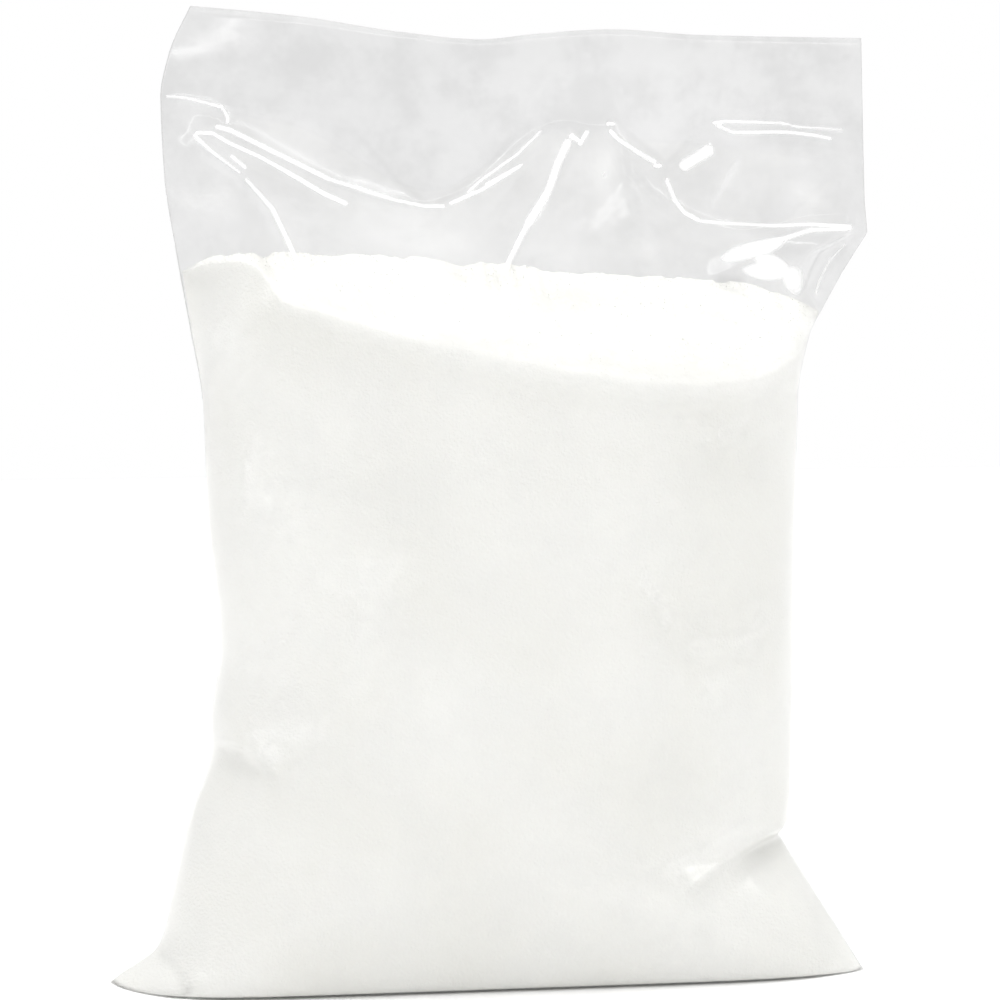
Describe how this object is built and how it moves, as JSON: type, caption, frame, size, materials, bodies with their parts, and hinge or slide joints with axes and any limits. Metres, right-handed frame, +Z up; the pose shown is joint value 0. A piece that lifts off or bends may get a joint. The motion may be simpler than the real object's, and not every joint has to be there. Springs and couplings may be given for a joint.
{
  "type": "bag of curing salt",
  "caption": "Clear heat-sealed poly bag filled with fine white curing salt, standing upright on its flat foot, with a flat flap above the seal and creased empty film over the salt.",
  "frame": {"origin": "middle of the bag's bounding box, on the surface it stands on", "axes": "+Z up, front towards -Y, +X to the right as seen from the front"},
  "size_m": [0.1598, 0.0654, 0.1997],
  "materials": {
    "filled_film": "clear glossy film lying on white salt, as the plain solid shows it",
    "clear_film": "clear, colourless, glossy low-density film with sharp creases",
    "salt": "matt white fine-grained salt"
  },
  "bodies": {
    "root": {"sealed_bag": "filled_film"}
  },
  "joints": []
}
